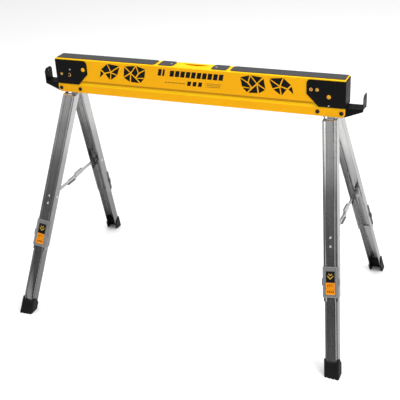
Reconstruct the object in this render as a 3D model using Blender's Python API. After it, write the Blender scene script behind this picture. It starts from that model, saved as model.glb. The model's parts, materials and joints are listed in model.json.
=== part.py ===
"""Folding sawhorse: a steel channel beam on two folding pairs of telescopic legs.

Metres, +Z up. The origin is on the floor under the middle of the beam, +X runs along the beam
and -Y is the front. Each end of the sawhorse is one assembly, and the left end is the right end
turned half a turn about Z. Every moving piece hangs from an empty on its joint's axis.
"""
import math

import bmesh
import bpy
from mathutils import Matrix

# Beam
TOP = 0.847                # height of the beam's top face
BEAM_LENGTH = 1.0
BEAM_WIDTH = 0.056
BEAM_HEIGHT = 0.1183
SHEET = 0.002              # steel sheet of beam, arms and brackets
GROOVE = 0.0045            # depth of the rolled groove
GROOVE_TOP = 0.0747        # groove's upper edge, middle and lower edge, below the top
GROOVE_MIDDLE = 0.083
GROOVE_BOTTOM = 0.0913
CORNER = 0.011             # rounded lower corners at the beam's ends
EDGE_RADIUS = 0.003        # rolled upper edges of the beam
GAP = 0.0003               # left between pieces that touch
RUNNING = 0.0004           # side clearance of sliding sheets
OVERCUT = 0.01             # how far cutters and guides reach past what they cut
FOLD = 0.0004              # step between faces that would otherwise lie in one plane

# Handle and strips on the beam's top
HANDLE_HALF = 0.048
HANDLE_WIDTH = 0.030
HANDLE_DEPTH = 0.005
PAD_INNER, PAD_OUTER = 0.065, 0.118
STRIP_INNER, STRIP_OUTER = 0.130, 0.497
STRIP_WIDTH = 0.046
STRIP_THICKNESS = 0.0016
STRIP_CUT = 0.007          # cut inner corners of a strip
PAD_RADIUS = 0.012         # rounded inner corners of a pad
PAD_CUT = 0.003

# End cap
CAP_LENGTH = 0.120
CAP_SHEET = 0.0013
CAP_TOP, CAP_BOTTOM, CAP_FACE_BOTTOM = 0.004, 0.0885, 0.0860
CAP_RADIUS = 0.013
CAP_CHAMFER = 0.038

# Bolts through the lower band of the beam
BOLT_RISE = 0.0138         # bolt axis above the beam's lower edge
OUTER_BOLT_X = 0.489
INNER_BOLT_X = 0.415       # this one is the hinge of the leg bracket
BOLT_RADIUS = 0.003
BOLT_HOLE = 0.0034
BOLT_HEAD = 0.0066
HEAD_HEIGHT = 0.0036
HEAD_TIP = 0.72            # outer radius of the head, of its full radius
BOLT_SPARE = 0.007         # thread beyond the beam's side at the back
NUT_HEIGHT = 0.0045

# Support arm
ARM_WIDTH = 0.0456
ARM_REACH = 0.054          # beyond the beam's end
ARM_LEDGE_DROP = 0.0885    # ledge below the beam's top
ARM_TAIL_X = 0.352
ARM_TAIL_CUT = 0.006       # cut lower corner of the tail
ARM_TIP_DEPTH = 0.009      # depth of the cheeks at the tip
ARM_LIP = 0.043
LIP_CUT = 0.009            # cut upper corners of the lip
ARM_TRAVEL = 0.049         # pulled out beyond the rest position
SLOT_RADIUS = 0.0037
SCREW_HOLE = 0.0025
LIP_HOLE_DROP = 0.011      # screw hole below the top of the lip

# Leg planes and leg pivots
TILT = math.radians(7.9)       # each pair of legs leans out along the beam
SPREAD = math.radians(22.63)   # each leg leans out across the beam
LEG_X = 0.4546                 # leg's middle at the beam's lower edge
PIN_RISE = 0.006               # leg pivot above the beam's lower edge
PIN_Y = 0.0115                 # leg pivot from the middle plane
PIN_RADIUS = 0.003
PIN_HOLE = 0.0033
PIN_HEAD = 0.0014
EAR_RADIUS = 0.008
FACE = 0.0238                  # leg's outer face from its pivot

# Leg bracket
BRACKET_HALF = 0.020
BRACKET_SIDE = 0.0005          # clearance between its walls and the legs
BRACKET_FOOT = 0.003           # walls below the leg pivots' lower stop
ROOF_RISE = 0.0045             # roof above the legs' ears
LUG_RADIUS = 0.0088

# Upper leg, a channel open to the inside
LEG_WIDTH = 0.045
LEG_DEPTH = 0.032
LEG_SHEET = 0.0018
LEG_TOP = 0.0255
LEG_END = 0.576
FLANGE_END = 0.560
WEB_RECESS = 0.0014
RECESS_HALF = 0.0125
RECESS_SLOPE = 0.003
LEG_CORNER = 0.0026
SHOULDER = (-0.003, -0.0137)   # where the leg's sloping shoulder starts, across and along
SHOULDER_START, SHOULDER_END = 0.004, 0.0217   # top plate along that slope
SHOULDER_SLOT = 0.0024         # half width and half length of its slot
SHOULDER_SLOT_HALF = 0.008
TAPER = 0.012                  # web left below the tapered flange ends
EDGE_TOP = 0.010               # flanges' free edges below the pivot

# Lower leg, latch sleeve and foot, as distances below the leg's pivot
LOWER_TOP = 0.430
LOWER_END = 0.790
SLOT_END = 0.573
SLOT_HALF = 0.0115
SLEEVE_TOP = 0.468
SLEEVE_END = 0.563
SLEEVE_SHEET = 0.002
SLEEVE_WRAP = 0.0055           # how far it reaches round the leg's flanges
SLEEVE_CORNER = 0.0025
EAR_LENGTH = 0.025
EAR_PROUD = 0.0026
EAR_SLOPE = 0.004
FOOT_TOP = 0.7548
FOOT_WALL = 0.003
FOOT_WIDTH = 0.047
FOOT_INNER_DROP = 0.016
FOOT_TOE = 0.0128              # solid depth of the foot behind its outer face
FOOT_CORNER = 0.005
FOOT_DIP_HALF = 0.0165         # half width of the dip in the foot's outer face
FOOT_DIP_DEPTH = 0.0105
FOOT_DIP_CORNER = 0.006
TREAD_PITCH = 0.0125
TREAD_DEPTH = 0.003
TREAD_FOOT, TREAD_ROOT = 0.002, 0.001   # half widths of a groove at the floor and at its root

# Spreader braces
BRACE_DROP = 0.3803            # brace pivot below the leg's pivot
BRACE_OUT = 0.0058             # brace pivot outside the leg's pivot line
BRACE_HALF = 0.006
BRACE_WIDE = 0.010
BRACE_WIDE_LENGTH = 0.055
BRACE_SHEET = 0.003
BRACE_FLANGE = 0.0065
BRACE_SIDE = 0.0004            # inner face of a link from the middle of the leg
RIVET_RADIUS = 0.0025
RIVET_HOLE = 0.0029
CLEVIS_TOP = 0.370
CLEVIS_END = 0.419
CLEVIS_SHEET = 0.0018
CLEVIS_HALF = 0.009
CLEVIS_EAR = 0.0055
RIVET_HEAD = 0.0013
HEAD_RATIO = 1.6               # head radius of pins and rivets, of their shank's

LEDGE_Z = TOP - ARM_LEDGE_DROP
BEAM_BOTTOM = TOP - BEAM_HEIGHT
BOLT_Z = BEAM_BOTTOM + BOLT_RISE
LEG_OFFSET = (LEG_X - INNER_BOLT_X) * math.cos(TILT) - BOLT_RISE * math.sin(TILT)
PIN_DROP = (LEG_X - INNER_BOLT_X) * math.sin(TILT) + BOLT_RISE * math.cos(TILT) - PIN_RISE
BRACE_LENGTH = PIN_Y + BRACE_DROP * math.sin(SPREAD) + BRACE_OUT * math.cos(SPREAD)
WIDE_CUT = 0.1             # thickness of a cutter that passes right through any piece

# An outline is drawn in U and V. These turn it to stand in XZ or YZ.
STAND_XZ = Matrix.Rotation(math.pi / 2, 4, "X")
STAND_YZ = Matrix(((0, 0, 1, 0), (1, 0, 0, 0), (0, 1, 0, 0), (0, 0, 0, 1)))
LIE_XY = Matrix.Identity(4)
ALONG_X = Matrix.Rotation(math.pi / 2, 4, "Y")
ALONG_Y = Matrix.Rotation(-math.pi / 2, 4, "X")


def clear_scene():
    for obj in list(bpy.data.objects):
        bpy.data.objects.remove(obj, do_unlink=True)


def make_collection(name):
    collection = bpy.data.collections.new(name)
    bpy.context.scene.collection.children.link(collection)
    return collection


def make_material(name, color, roughness, metallic=0.0):
    material = bpy.data.materials.new(name)
    material.use_nodes = True
    shader = material.node_tree.nodes["Principled BSDF"]
    shader.inputs["Base Color"].default_value = (*color, 1.0)
    shader.inputs["Roughness"].default_value = roughness
    shader.inputs["Metallic"].default_value = metallic
    return material


def weld(mesh):
    """Merge the loose caps and turn every face outwards."""
    bm = bmesh.new()
    bm.from_mesh(mesh)
    bmesh.ops.remove_doubles(bm, verts=bm.verts, dist=0.00001)
    bmesh.ops.recalc_face_normals(bm, faces=bm.faces)
    bm.to_mesh(mesh)
    bm.free()
    return mesh


def evaluated_mesh(obj):
    graph = bpy.context.evaluated_depsgraph_get()
    return bpy.data.meshes.new_from_object(obj.evaluated_get(graph))


def plate(loops, thickness, turn=LIE_XY, centre=(0, 0, 0)):
    """A flat outline with its holes, as a solid of the given thickness."""
    curve = bpy.data.curves.new("outline", "CURVE")
    curve.dimensions = "2D"
    curve.fill_mode = "BOTH"
    curve.extrude = thickness / 2
    for loop in loops:
        spline = curve.splines.new("POLY")
        spline.points.add(len(loop) - 1)
        for point, (u, v) in zip(spline.points, loop):
            point.co = (u, v, 0, 1)
        spline.use_cyclic_u = True
    guide = bpy.data.objects.new("outline", curve)
    bpy.context.scene.collection.objects.link(guide)
    mesh = weld(evaluated_mesh(guide))
    bpy.data.objects.remove(guide)
    bpy.data.curves.remove(curve)
    mesh.transform(Matrix.Translation(centre) @ turn)
    return mesh


def box(low, high):
    """A box between two corners."""
    size = [b - a for a, b in zip(low, high)]
    middle = [(a + b) / 2 for a, b in zip(low, high)]
    bm = bmesh.new()
    bmesh.ops.create_cube(bm, size=1.0, matrix=Matrix.Translation(middle) @ Matrix.Diagonal((*size, 1)))
    mesh = bpy.data.meshes.new("box")
    bm.to_mesh(mesh)
    bm.free()
    return mesh


def rod(radius, start, end, turn, centre=(0, 0, 0), segments=16, tip=None):
    """A round bar between two distances along its axis, tapering to tip if one is given."""
    far = radius if tip is None else tip
    along = Matrix.Translation((0, 0, (start + end) / 2))
    bm = bmesh.new()
    bmesh.ops.create_cone(bm, cap_ends=True, segments=segments, radius1=radius, radius2=far,
                          depth=end - start, matrix=Matrix.Translation(centre) @ turn @ along)
    mesh = bpy.data.meshes.new("rod")
    bm.to_mesh(mesh)
    bm.free()
    return mesh


def combine(first, operation, *others):
    """Join, cut or intersect meshes one after another."""
    for other in others:
        body = bpy.data.objects.new("body", first)
        tool = bpy.data.objects.new("tool", other)
        for obj in (body, tool):
            bpy.context.scene.collection.objects.link(obj)
        boolean = body.modifiers.new("boolean", "BOOLEAN")
        boolean.operation = operation
        boolean.solver = "EXACT"
        boolean.object = tool
        first = evaluated_mesh(body)
        bpy.data.objects.remove(body)
        bpy.data.objects.remove(tool)
    return first


def union(first, *others):
    return combine(first, "UNION", *others)


def cut(first, *others):
    return combine(first, "DIFFERENCE", *others)


def common(first, *others):
    return combine(first, "INTERSECT", *others)


def arc(u, v, radius, start, end, steps):
    """Points on a circle, with angles in degrees."""
    angles = [math.radians(start + (end - start) * i / steps) for i in range(steps + 1)]
    return [(u + radius * math.cos(a), v + radius * math.sin(a)) for a in angles]


def circle(u, v, radius, steps=16):
    return arc(u, v, radius, 0, 360, steps)[:-1]


def stadium(u_start, u_end, v, radius):
    """A slot with round ends."""
    return arc(u_start, v, radius, 90, 270, 6) + arc(u_end, v, radius, -90, 90, 6)


def rectangle(u_low, u_high, v_low, v_high):
    return [(u_low, v_low), (u_high, v_low), (u_high, v_high), (u_low, v_high)]


def mirrored(points):
    """The same points on the other side of U = 0, in reverse order."""
    return [(-u, v) for u, v in reversed(points)]


def make_beam():
    """An inverted channel with a rolled groove, rounded lower corners, bolt holes and a handle hole."""
    def half_section(half, top, shift):
        return [
            (half, BEAM_BOTTOM - OVERCUT),
            (half, TOP - GROOVE_BOTTOM - shift),
            (half - GROOVE, TOP - GROOVE_MIDDLE),
            (half, TOP - GROOVE_TOP + shift),
            *arc(half - EDGE_RADIUS, top - EDGE_RADIUS, EDGE_RADIUS, 0, 90, 3),
        ]

    outer = half_section(BEAM_WIDTH / 2, TOP, 0)
    inner = half_section(BEAM_WIDTH / 2 - SHEET, TOP - SHEET, 0.3 * SHEET)
    section = outer + mirrored(outer) + [(-y, z) for y, z in inner] + inner[::-1]
    channel = plate([section], BEAM_LENGTH + 2 * OVERCUT, STAND_YZ)

    half = BEAM_LENGTH / 2
    low = BEAM_BOTTOM + CORNER
    side = [(half, TOP + OVERCUT), (-half, TOP + OVERCUT)]
    side += arc(-half + CORNER, low, CORNER, 180, 270, 4)
    side += arc(half - CORNER, low, CORNER, 270, 360, 4)
    holes = [circle(x, BOLT_Z, BOLT_HOLE) for bolt in (INNER_BOLT_X, OUTER_BOLT_X) for x in (-bolt, bolt)]
    side_y = HANDLE_WIDTH / 2
    handle = box((-HANDLE_HALF, -side_y, TOP - OVERCUT), (HANDLE_HALF, side_y, TOP + OVERCUT))
    return cut(common(channel, plate([side, *holes], WIDE_CUT, STAND_XZ)), handle)


def make_handle_insert():
    """A dished plate that fills the handle hole in the beam's top."""
    half = HANDLE_HALF - GAP
    radius = (half ** 2 + HANDLE_DEPTH ** 2) / (2 * HANDLE_DEPTH)
    centre = TOP - HANDLE_DEPTH + radius
    reach = math.degrees(math.asin(half / radius))
    dish = arc(0, centre, radius, 270 - reach, 270 + reach, 12)
    under = [(u, v - SHEET) for u, v in reversed(dish)]
    return plate([dish + under], HANDLE_WIDTH - 2 * GAP, STAND_XZ)


def make_strip(inner, outer, round_end):
    """A grip strip or pad on the top, with cut or rounded inner corners."""
    half = STRIP_WIDTH / 2
    if round_end:
        loop = arc(inner + PAD_RADIUS, half - PAD_RADIUS, PAD_RADIUS, 180, 90, 4)
        loop += [(outer - PAD_CUT, half), (outer, half - PAD_CUT)]
        loop += [(outer, -half + PAD_CUT), (outer - PAD_CUT, -half)]
        loop += arc(inner + PAD_RADIUS, -half + PAD_RADIUS, PAD_RADIUS, 270, 180, 4)
    else:
        loop = [(inner, half - STRIP_CUT), (inner + STRIP_CUT, half), (outer, half)]
        loop += [(outer, -half), (inner + STRIP_CUT, -half), (inner, -half + STRIP_CUT)]
    return plate([loop], STRIP_THICKNESS, LIE_XY, (0, 0, TOP + GAP + STRIP_THICKNESS / 2))


def make_end_cap():
    """A black cover over the end of the beam: two side plates and an end plate."""
    end = BEAM_LENGTH / 2 + GAP + CAP_SHEET
    inner = BEAM_LENGTH / 2 - CAP_LENGTH
    top, bottom = TOP - CAP_TOP, TOP - CAP_BOTTOM
    loop = [(end, bottom), (end, top)]
    loop += arc(inner + CAP_RADIUS, top - CAP_RADIUS, CAP_RADIUS, 90, 180, 5)
    loop += [(inner, bottom + CAP_CHAMFER), (inner + CAP_CHAMFER, bottom)]
    side = BEAM_WIDTH / 2 + GAP + CAP_SHEET / 2
    plates = [plate([loop], CAP_SHEET, STAND_XZ, (0, y, 0)) for y in (-side, side)]
    face = box((end - CAP_SHEET, -side, TOP - CAP_FACE_BOTTOM), (end, side, top))
    return union(face, *plates)


def make_bolt():
    """A button-head bolt through both sides of the beam, head to the front."""
    side = BEAM_WIDTH / 2 + GAP
    shank = rod(BOLT_RADIUS, -side - HEAD_HEIGHT / 3, side + BOLT_SPARE, ALONG_Y)
    head = rod(BOLT_HEAD * HEAD_TIP, -side - HEAD_HEIGHT, -side, ALONG_Y, tip=BOLT_HEAD)
    return union(head, shank)


def make_nut():
    """The bolt's hexagon nut at the back."""
    side = BEAM_WIDTH / 2 + GAP
    hexagon = circle(0, 0, BOLT_HEAD, 6)
    bore = circle(0, 0, BOLT_RADIUS + GAP, 16)
    return plate([hexagon, bore], NUT_HEIGHT, STAND_XZ, (0, side + NUT_HEIGHT / 2, 0))


def make_arm():
    """A channel-shaped arm that slides on the beam's bolts, with a ledge and an end lip."""
    end = BEAM_LENGTH / 2
    tip = end + ARM_REACH
    low = BEAM_BOTTOM + FOLD
    toe = LEDGE_Z - ARM_TIP_DEPTH
    cheek_loop = [
        (ARM_TAIL_X, LEDGE_Z - FOLD), (ARM_TAIL_X, low + ARM_TAIL_CUT), (ARM_TAIL_X + ARM_TAIL_CUT, low),
        (end, low), (tip - 2 * SHEET, toe), (tip - FOLD, toe + SHEET), (tip - FOLD, LEDGE_Z - FOLD),
    ]
    slots = [stadium(bolt - ARM_TRAVEL, bolt, BOLT_Z, SLOT_RADIUS) for bolt in (INNER_BOLT_X, OUTER_BOLT_X)]
    cheek_y = ARM_WIDTH / 2 - SHEET / 2
    cheeks = [plate([cheek_loop, *slots], SHEET, STAND_XZ, (0, y, 0)) for y in (-cheek_y, cheek_y)]
    half = ARM_WIDTH / 2 - FOLD
    ledge = box((ARM_TAIL_X + FOLD, -half, LEDGE_Z - SHEET), (tip - FOLD, half, LEDGE_Z))
    half -= FOLD
    lip_top = LEDGE_Z + ARM_LIP
    lip_side = [(half, LEDGE_Z - SHEET + FOLD), (half, lip_top - LIP_CUT), (half - LIP_CUT, lip_top)]
    hole = circle(0, lip_top - LIP_HOLE_DROP, SCREW_HOLE, 12)
    lip = plate([lip_side + mirrored(lip_side), hole], SHEET, STAND_YZ, (tip - SHEET / 2, 0, 0))
    ledge_hole = rod(SCREW_HOLE, LEDGE_Z - OVERCUT, LEDGE_Z + OVERCUT, LIE_XY, (end + ARM_REACH / 2, 0, 0), 12)
    return cut(union(ledge, lip, *cheeks), ledge_hole)


def make_bracket():
    """The leg bracket in the swing frame: its origin is on the hinge bolt."""
    wall = LEG_WIDTH / 2 + BRACKET_SIDE + SHEET / 2
    low = -PIN_DROP - PIN_RISE - BRACKET_FOOT
    top = -PIN_DROP + EAR_RADIUS + ROOF_RISE
    wall_loop = rectangle(-BRACKET_HALF, BRACKET_HALF, low, top)
    holes = [circle(y, -PIN_DROP, PIN_HOLE) for y in (-PIN_Y, PIN_Y)]
    walls = [plate([wall_loop, *holes], SHEET, STAND_YZ, (LEG_OFFSET + x, 0, 0)) for x in (-wall, wall)]
    near, far = LEG_OFFSET - wall - SHEET / 2, LEG_OFFSET + wall + SHEET / 2
    roof = box((near, -BRACKET_HALF, top - SHEET), (far, BRACKET_HALF, top))
    lug_loop = arc(0, 0, LUG_RADIUS, 60, 250, 10) + [(near + SHEET, low + FOLD), (near + SHEET, top)]
    bore = circle(0, 0, BOLT_HOLE)
    lug_y = BRACKET_HALF - SHEET / 2
    lugs = [plate([lug_loop, bore], SHEET, STAND_XZ, (0, y, 0)) for y in (-lug_y, lug_y)]
    return union(roof, *walls, *lugs)


def headed_pin(radius, low, high, head, segments):
    """A pin along X with a flat head at each end."""
    shank = rod(radius, low - head / 2, high + head / 2, ALONG_X, segments=segments)
    ends = ((low - head, low), (high, high + head))
    return union(shank, *[rod(radius * HEAD_RATIO, a, b, ALONG_X, segments=segments) for a, b in ends])


def make_leg_pin():
    """A headed pin along X, centred on the leg."""
    reach = LEG_WIDTH / 2 + BRACKET_SIDE + SHEET + GAP
    return headed_pin(PIN_RADIUS, -reach, reach, PIN_HEAD, 16)


def channel_loop(half, face, depth, sheet, recess_half):
    """The section of a leg: a channel open towards +Y with a shallow recess along its web."""
    slope = recess_half + RECESS_SLOPE
    fold = sheet / 4
    outer = [(half, face + depth)]
    outer += arc(half - LEG_CORNER, face + LEG_CORNER, LEG_CORNER, 0, -90, 3)
    outer += [(slope, face), (recess_half, face + WEB_RECESS)]
    inner = [(half - sheet, face + depth), (half - sheet, face + sheet)]
    inner += [(slope + fold, face + sheet), (recess_half + fold, face + sheet + WEB_RECESS)]
    return outer + mirrored(outer) + [(-x, y) for x, y in inner] + inner[::-1]


def make_shoulder():
    """The plate that closes the top of a leg between its flanges, with a slot along it."""
    across, along = SHOULDER
    slope = math.atan2(LEG_TOP + along, FACE + across)
    middle = (SHOULDER_START + SHOULDER_END) / 2
    half = LEG_WIDTH / 2 - LEG_SHEET / 2
    outline = rectangle(-half, half, SHOULDER_START, SHOULDER_END)
    slot = stadium(-SHOULDER_SLOT_HALF, SHOULDER_SLOT_HALF, middle, SHOULDER_SLOT)
    shoulder = plate([outline, slot], LEG_SHEET, LIE_XY, (0, 0, LEG_SHEET / 2 + FOLD))
    shoulder.transform(Matrix.Translation((0, across, along)) @ Matrix.Rotation(math.pi + slope, 4, "X"))
    return shoulder


def make_upper_leg():
    """A channel with rounded ears on its pivot, a closed shoulder and tapered flange ends."""
    length = LEG_END + 4 * OVERCUT
    section = channel_loop(LEG_WIDTH / 2, -FACE, LEG_DEPTH, LEG_SHEET, RECESS_HALF)
    channel = plate([section], length, LIE_XY, (0, 0, 2 * OVERCUT - length / 2))
    edge = LEG_DEPTH - FACE
    side = arc(0, 0, EAR_RADIUS, 0, 200, 10)
    side += [SHOULDER, (-FACE, -LEG_TOP), (-FACE - FOLD, -LEG_TOP), (-FACE - FOLD, -LEG_END)]
    side += [(-FACE + TAPER, -LEG_END), (edge, -FLANGE_END), (edge, -EDGE_TOP)]
    leg = common(channel, plate([side, circle(0, 0, PIN_HOLE)], WIDE_CUT, STAND_YZ))
    return union(leg, make_shoulder())


def lower_leg_section(gap=0.0):
    """The section of a lower leg, or of the pocket that holds it with a gap all round."""
    inset = LEG_SHEET + RUNNING
    half = LEG_WIDTH / 2 - inset + gap
    depth = LEG_DEPTH - inset - 0.001 + 2 * gap
    return channel_loop(half, -FACE + inset - gap, depth, LEG_SHEET + 2 * gap, RECESS_HALF + 0.001 - gap)


def make_lower_leg():
    """A smaller channel inside the upper leg, slotted to pass the brace clevis."""
    length = LOWER_END - LOWER_TOP
    channel = plate([lower_leg_section()], length, LIE_XY, (0, 0, -LOWER_TOP - length / 2))
    slot = box((-SLOT_HALF, -FACE - OVERCUT, -SLOT_END), (SLOT_HALF, -FACE + OVERCUT, -LOWER_TOP + OVERCUT))
    return cut(channel, slot)


def make_sleeve():
    """The latch sleeve over the outside of the upper leg, with a finger ear on each side."""
    half = LEG_WIDTH / 2 + RUNNING
    out = half + SLEEVE_SHEET
    face = -FACE - RUNNING
    back = -FACE + SLEEVE_WRAP
    outer = [(out, back)]
    outer += arc(out - SLEEVE_CORNER, face - SLEEVE_SHEET + SLEEVE_CORNER, SLEEVE_CORNER, 0, -90, 3)
    inner = [(half, back), (half, face + RUNNING), (half - RUNNING, face)]
    section = outer + mirrored(outer) + [(-x, y) for x, y in inner] + inner[::-1]
    length = SLEEVE_END - SLEEVE_TOP
    middle = -SLEEVE_TOP - length / 2
    sleeve = plate([section], length, LIE_XY, (0, 0, middle))
    ear = [(-FOLD, -EAR_LENGTH / 2), (0, -EAR_LENGTH / 2), (EAR_PROUD, -EAR_LENGTH / 2 + EAR_SLOPE)]
    ear += [(u, -v) for u, v in reversed(ear)]
    ear_low, ear_high = face, back - FOLD
    ears = []
    for side in (-1, 1):
        loop = [(side * (out + u), middle + v) for u, v in ear]
        ears.append(plate([loop], ear_high - ear_low, STAND_XZ, (0, (ear_low + ear_high) / 2, 0)))
    return union(sleeve, *ears)


def make_foot(leg_frame):
    """A rubber foot round the lower leg's three sides, dipped in front, cut level, with a grooved sole."""
    front = -FACE + LEG_SHEET + RUNNING - FOOT_WALL - SHEET
    back = LEG_DEPTH - FACE + 0.001
    deep = LOWER_END + 6 * OVERCUT
    side = [(front, -FOOT_TOP), (-OVERCUT, -FOOT_TOP), (back, -FOOT_TOP - FOOT_INNER_DROP)]
    side += [(back, -deep), (front, -deep)]
    half = FOOT_WIDTH / 2
    plan = [(half, back)] + arc(half - FOOT_CORNER, front + FOOT_CORNER, FOOT_CORNER, 0, -90, 4)
    block = plate([side], WIDE_CUT, STAND_YZ)
    column = plate([plan + mirrored(plan)], WIDE_CUT + 2 * OVERCUT, LIE_XY, (0, 0, -LOWER_END - OVERCUT))
    pocket = plate([lower_leg_section(GAP)], WIDE_CUT, LIE_XY, (0, 0, -LOWER_END - GAP + WIDE_CUT / 2))
    hollow = LEG_WIDTH / 2 - 2 * LEG_SHEET - 2 * RUNNING
    core = box((-hollow, front + FOOT_TOE, -deep), (hollow, back + OVERCUT, -FOOT_TOP + 2 * OVERCUT))
    dip_side = FOOT_DIP_HALF - FOOT_DIP_CORNER
    dip_low = -FOOT_TOP - FOOT_DIP_DEPTH + FOOT_DIP_CORNER
    dip_half = [(FOOT_DIP_HALF, -FOOT_TOP + OVERCUT)] + arc(dip_side, dip_low, FOOT_DIP_CORNER, 0, -90, 4)
    dip = plate([dip_half + mirrored(dip_half)], 2 * FOOT_TOE + OVERCUT, STAND_XZ, (0, front, 0))
    reach = 2 * WIDE_CUT
    floor_loop = [(-reach, -WIDE_CUT / 2), (reach, -WIDE_CUT / 2), (reach, 0)]
    for step in (1, 0, -1):
        groove = [(TREAD_FOOT, 0), (TREAD_ROOT, TREAD_DEPTH)]
        floor_loop += [(step * TREAD_PITCH + u, v) for u, v in groove + mirrored(groove)]
    floor_loop += [(-reach, 0)]
    sole = leg_frame @ Matrix.Translation((0, 0, -LOWER_END))
    floor = plate([floor_loop], 1.2 * BEAM_LENGTH, STAND_XZ, (sole.translation.x, 0, 0))
    floor.transform(leg_frame.inverted())
    return cut(common(block, column), pocket, core, dip, floor)


def make_clevis():
    """The brace's bracket, riveted inside the leg's channel."""
    web = -FACE + LEG_SHEET + WEB_RECESS + GAP
    base = box((-CLEVIS_HALF, web, -CLEVIS_END), (CLEVIS_HALF, web + CLEVIS_SHEET, -CLEVIS_TOP))
    pivot = (-BRACE_OUT, -BRACE_DROP)
    ear_loop = [(web, -CLEVIS_END + TAPER), (web, -CLEVIS_TOP)] + arc(*pivot, CLEVIS_EAR, 90, -60, 7)
    hole = circle(*pivot, RIVET_HOLE, 12)
    ears = []
    for near in (BRACE_SIDE - GAP - CLEVIS_SHEET, BRACE_SIDE + BRACE_SHEET + GAP):
        ears.append(plate([ear_loop, hole], CLEVIS_SHEET, STAND_YZ, (near + CLEVIS_SHEET / 2, 0, 0)))
    return union(base, *ears)


def make_brace_pin():
    """The rivet that holds a link in its clevis, in the link's own frame."""
    low = BRACE_SIDE - CLEVIS_SHEET - 2 * GAP
    high = BRACE_SIDE + BRACE_SHEET + CLEVIS_SHEET + 2 * GAP
    return headed_pin(RIVET_RADIUS, low, high, RIVET_HEAD, 12)


def make_link():
    """One link of the spreader: a flat bar that widens into a channel near the middle pivot."""
    start = BRACE_LENGTH - BRACE_WIDE_LENGTH
    neck = start - 2 * (BRACE_WIDE - BRACE_HALF)
    loop = arc(0, 0, BRACE_HALF, 90, 270, 7) + [(neck, -BRACE_HALF), (start, -BRACE_WIDE)]
    loop += arc(BRACE_LENGTH, 0, BRACE_WIDE, -90, 90, 9) + [(start, BRACE_WIDE), (neck, BRACE_HALF)]
    holes = [circle(0, 0, RIVET_HOLE, 12), circle(BRACE_LENGTH, 0, RIVET_HOLE, 12)]
    bar = plate([loop, *holes], BRACE_SHEET, STAND_YZ, (BRACE_SIDE + BRACE_SHEET / 2, 0, 0))
    flanges = []
    for side in (-1, 1):
        low, high = sorted((side * BRACE_WIDE, side * (BRACE_WIDE - SHEET)))
        far = BRACE_LENGTH - BRACE_WIDE / 2
        flanges.append(box((BRACE_SIDE, start, low), (BRACE_SIDE + BRACE_FLANGE, far, high)))
    return union(bar, *flanges)


def make_middle_rivet():
    """The rivet of the spreader's middle pivot, carried by the first link."""
    low, high = BRACE_SIDE, BRACE_SIDE + BRACE_SHEET + GAP
    shank = rod(RIVET_RADIUS, low, high + RIVET_HEAD / 2, ALONG_X, segments=12)
    return union(shank, rod(RIVET_RADIUS * HEAD_RATIO, high, high + RIVET_HEAD, ALONG_X, segments=12))


def add_empty(name, parent, location, rotation):
    empty = bpy.data.objects.new(name, None)
    empty.empty_display_size = 0.02
    empty.parent = parent
    empty.location = location
    empty.rotation_euler = rotation
    PARTS.objects.link(empty)
    return empty


def add_part(name, mesh, look, parent=None, location=(0, 0, 0)):
    """One named piece. Copies of a repeated piece share their mesh."""
    if not mesh.materials:
        mesh.name = name
        mesh.materials.append(look)
        mesh.shade_smooth()
        mesh.set_sharp_from_angle(angle=math.radians(30))
    obj = bpy.data.objects.new(name, mesh)
    obj.parent = parent
    obj.location = location
    PARTS.objects.link(obj)
    return obj


clear_scene()
PARTS = make_collection("folding_sawhorse")

YELLOW = make_material("yellow_powder_coat", (0.85, 0.45, 0.01), 0.4)
BLACK = make_material("black_powder_coat", (0.015, 0.015, 0.017), 0.45)
STEEL = make_material("galvanised_steel", (0.42, 0.43, 0.44), 0.42, 0.9)
BRIGHT = make_material("zinc_fastener", (0.55, 0.55, 0.56), 0.3, 1.0)
SLEEVE = make_material("grey_sleeve", (0.2, 0.2, 0.21), 0.5)
RUBBER = make_material("black_rubber", (0.02, 0.02, 0.02), 0.8)
GRIP = make_material("black_grip", (0.02, 0.02, 0.022), 0.75)

# The frame of the right end's first leg, from which the feet are cut level.
SWING = Matrix.Translation((INNER_BOLT_X, 0, BOLT_Z)) @ Matrix.Rotation(-TILT, 4, "Y")
FIRST_LEG = SWING @ Matrix.Translation((LEG_OFFSET, -PIN_Y, -PIN_DROP)) @ Matrix.Rotation(-SPREAD, 4, "X")
SECOND_LEG = (SWING @ Matrix.Translation((LEG_OFFSET, PIN_Y, -PIN_DROP))
              @ Matrix.Rotation(math.pi, 4, "Z") @ Matrix.Rotation(-SPREAD, 4, "X"))

MESHES = {
    "strip": make_strip(STRIP_INNER, STRIP_OUTER, False),
    "pad": make_strip(PAD_INNER, PAD_OUTER, True),
    "cap": make_end_cap(),
    "bolt": make_bolt(),
    "nut": make_nut(),
    "arm": make_arm(),
    "bracket": make_bracket(),
    "leg_pin": make_leg_pin(),
    "upper_leg": make_upper_leg(),
    "lower_leg": make_lower_leg(),
    "sleeve": make_sleeve(),
    "first_foot": make_foot(FIRST_LEG),
    "second_foot": make_foot(SECOND_LEG),
    "clevis": make_clevis(),
    "brace_pin": make_brace_pin(),
    "link": make_link(),
    "middle_rivet": make_middle_rivet(),
}


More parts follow.
